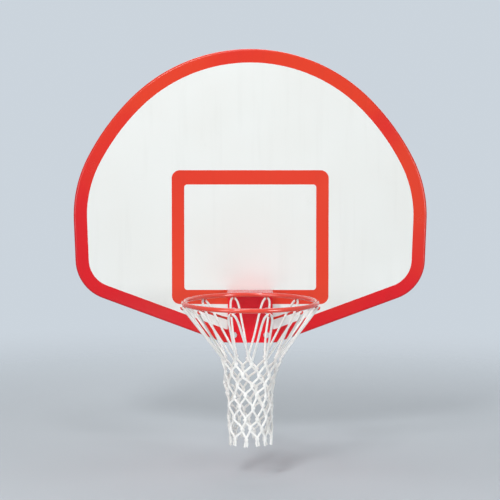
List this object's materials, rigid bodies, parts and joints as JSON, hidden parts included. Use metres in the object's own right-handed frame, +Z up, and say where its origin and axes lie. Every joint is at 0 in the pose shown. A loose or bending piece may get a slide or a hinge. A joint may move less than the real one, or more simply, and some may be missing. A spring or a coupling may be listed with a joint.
{
  "type": "basketball backboard",
  "caption": "Fan-shaped pressed steel backboard with a bolted ring goal, wire hooks and a knotted cord net; rails on its back carry a rectangular bolt pattern.",
  "frame": {"origin": "centre of the four rear mounting holes, in the rear plane of the mounting rails", "axes": "+Z up; +Y out of the back, so the playing face and the ring look along -Y; +X to the right seen from in front"},
  "size_m": [1.3718, 0.6675, 1.4415],
  "materials": {
    "white_enamel": "gloss enamel on steel, lightly scuffed",
    "orange_enamel": "orange-red gloss enamel on steel",
    "zinc": "bright zinc plate",
    "net_cord": "braided white cord"
  },
  "bodies": {
    "board": {"face_panel": "white_enamel", "left_mount_rail": "white_enamel", "right_mount_rail": "white_enamel", "upper_cross_channel": "white_enamel", "lower_cross_channel": "white_enamel", "goal_support_channel": "white_enamel", "goal_backing_plate": "white_enamel", "mount_nuts": "white_enamel", "goal_plate": "orange_enamel", "ring": "orange_enamel", "left_brace": "orange_enamel", "right_brace": "orange_enamel", "net_hook_01": "orange_enamel", "net_hook_02": "orange_enamel", "net_hook_03": "orange_enamel", "net_hook_04": "orange_enamel", "net_hook_05": "orange_enamel", "net_hook_06": "orange_enamel", "net_hook_07": "orange_enamel", "net_hook_08": "orange_enamel", "net_hook_09": "orange_enamel", "net_hook_10": "orange_enamel", "net_hook_11": "orange_enamel", "net_hook_12": "orange_enamel", "goal_bolts": "zinc", "goal_front_washers": "zinc", "goal_rear_washers": "zinc", "goal_lock_washers": "zinc", "goal_nuts": "zinc", "net_loops": "net_cord"},
    "net": {"net_mesh": "net_cord"}
  },
  "joints": [
    {"name": "net_swing", "type": "hinge", "parent": "board", "child": "net", "pos_m": [0, -0.423, -0.345], "axis": [1, 0, 0], "range_deg": [-20, 20], "deforming": ["net_loops"]}
  ]
}
